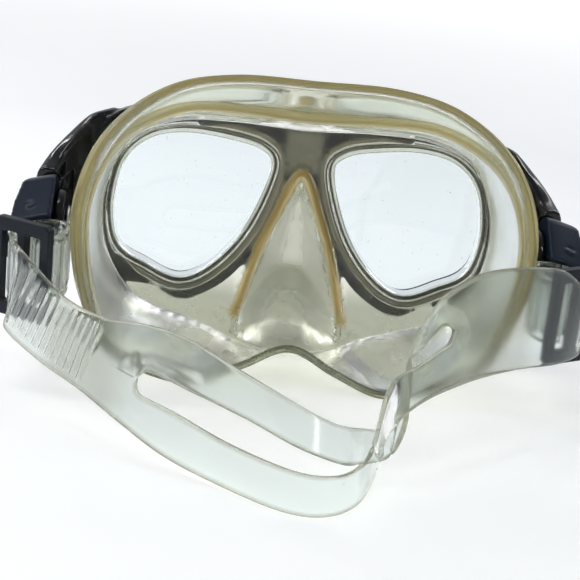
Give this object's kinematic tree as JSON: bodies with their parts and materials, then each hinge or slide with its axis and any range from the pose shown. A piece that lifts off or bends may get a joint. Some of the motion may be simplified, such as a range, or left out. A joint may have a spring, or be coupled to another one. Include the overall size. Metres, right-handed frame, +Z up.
{
  "type": "diving mask",
  "caption": "Twin-lens diving mask: rigid frame, soft silicone skirt with nose pocket, swivel buckles with rollers and catches, and a split head strap.",
  "frame": {"origin": "middle of the flat pad on the front of the nose bridge", "axes": "+X is the wearer's right, +Y is forward through the lenses, +Z is up"},
  "size_m": [0.2046, 0.1565, 0.1128],
  "materials": {
    "frame_black": "moulded gloss with light scuffs",
    "lens_glass": "clear polished glass",
    "skirt_silicone": "clear silicone, yellowed with age, smooth and slightly glossy",
    "strap_silicone": "clear silicone, smooth and slightly glossy",
    "buckle_navy": "moulded, half gloss",
    "slide_black": "moulded, fine texture",
    "steel": "stainless, drawn",
    "roller_nylon": "turned nylon"
  },
  "bodies": {
    "frame": {"frame_body": "frame_black", "lens_right": "lens_glass", "lens_left": "lens_glass", "bezel_right": "frame_black", "bezel_left": "frame_black", "skirt": "skirt_silicone", "pivot_pin_right": "steel", "pivot_pin_left": "steel"},
    "left_buckle": {"buckle_body_left": "buckle_navy", "roller_pin_left": "steel", "pawl_pin_left": "steel", "strap": "strap_silicone", "strap_slide_left": "slide_black", "strap_slide_right": "slide_black"},
    "right_buckle": {"buckle_body_right": "buckle_navy", "roller_pin_right": "steel", "pawl_pin_right": "steel"},
    "left_roller": {"strap_roller_left": "roller_nylon"},
    "right_roller": {"strap_roller_right": "roller_nylon"},
    "left_pawl": {"strap_pawl_left": "buckle_navy", "pawl_spring_left": "steel"},
    "right_pawl": {"strap_pawl_right": "buckle_navy", "pawl_spring_right": "steel"}
  },
  "joints": [
    {"name": "left_buckle_swivel", "type": "hinge", "parent": "frame", "child": "left_buckle", "pos_m": [-0.089, -0.033, -0.02], "axis": [-1, 0, 0], "range_deg": [-20, 70]},
    {"name": "right_buckle_swivel", "type": "hinge", "parent": "frame", "child": "right_buckle", "pos_m": [0.089, -0.033, -0.02], "axis": [-1, 0, 0], "range_deg": [-20, 70]},
    {"name": "left_roller_spin", "type": "hinge", "parent": "left_buckle", "child": "left_roller", "pos_m": [-0.0925, -0.044, -0.0305], "axis": [0, 0, 1], "continuous": true},
    {"name": "right_roller_spin", "type": "hinge", "parent": "right_buckle", "child": "right_roller", "pos_m": [0.0925, -0.044, -0.0305], "axis": [0, 0, 1], "continuous": true},
    {"name": "left_pawl_lift", "type": "hinge", "parent": "left_buckle", "child": "left_pawl", "pos_m": [-0.0948, -0.0346, -0.0292], "axis": [0, 0, -1], "range_deg": [0, 12], "stiffness_Nm_per_rad": 0.02, "springref_deg": -20.05},
    {"name": "right_pawl_lift", "type": "hinge", "parent": "right_buckle", "child": "right_pawl", "pos_m": [0.0948, -0.0346, -0.0292], "axis": [0, 0, 1], "range_deg": [0, 12], "stiffness_Nm_per_rad": 0.02, "springref_deg": -20.05}
  ],
  "couplings": [
    {"joint": "right_buckle_swivel", "follows": "left_buckle_swivel", "ratio": 1}
  ]
}
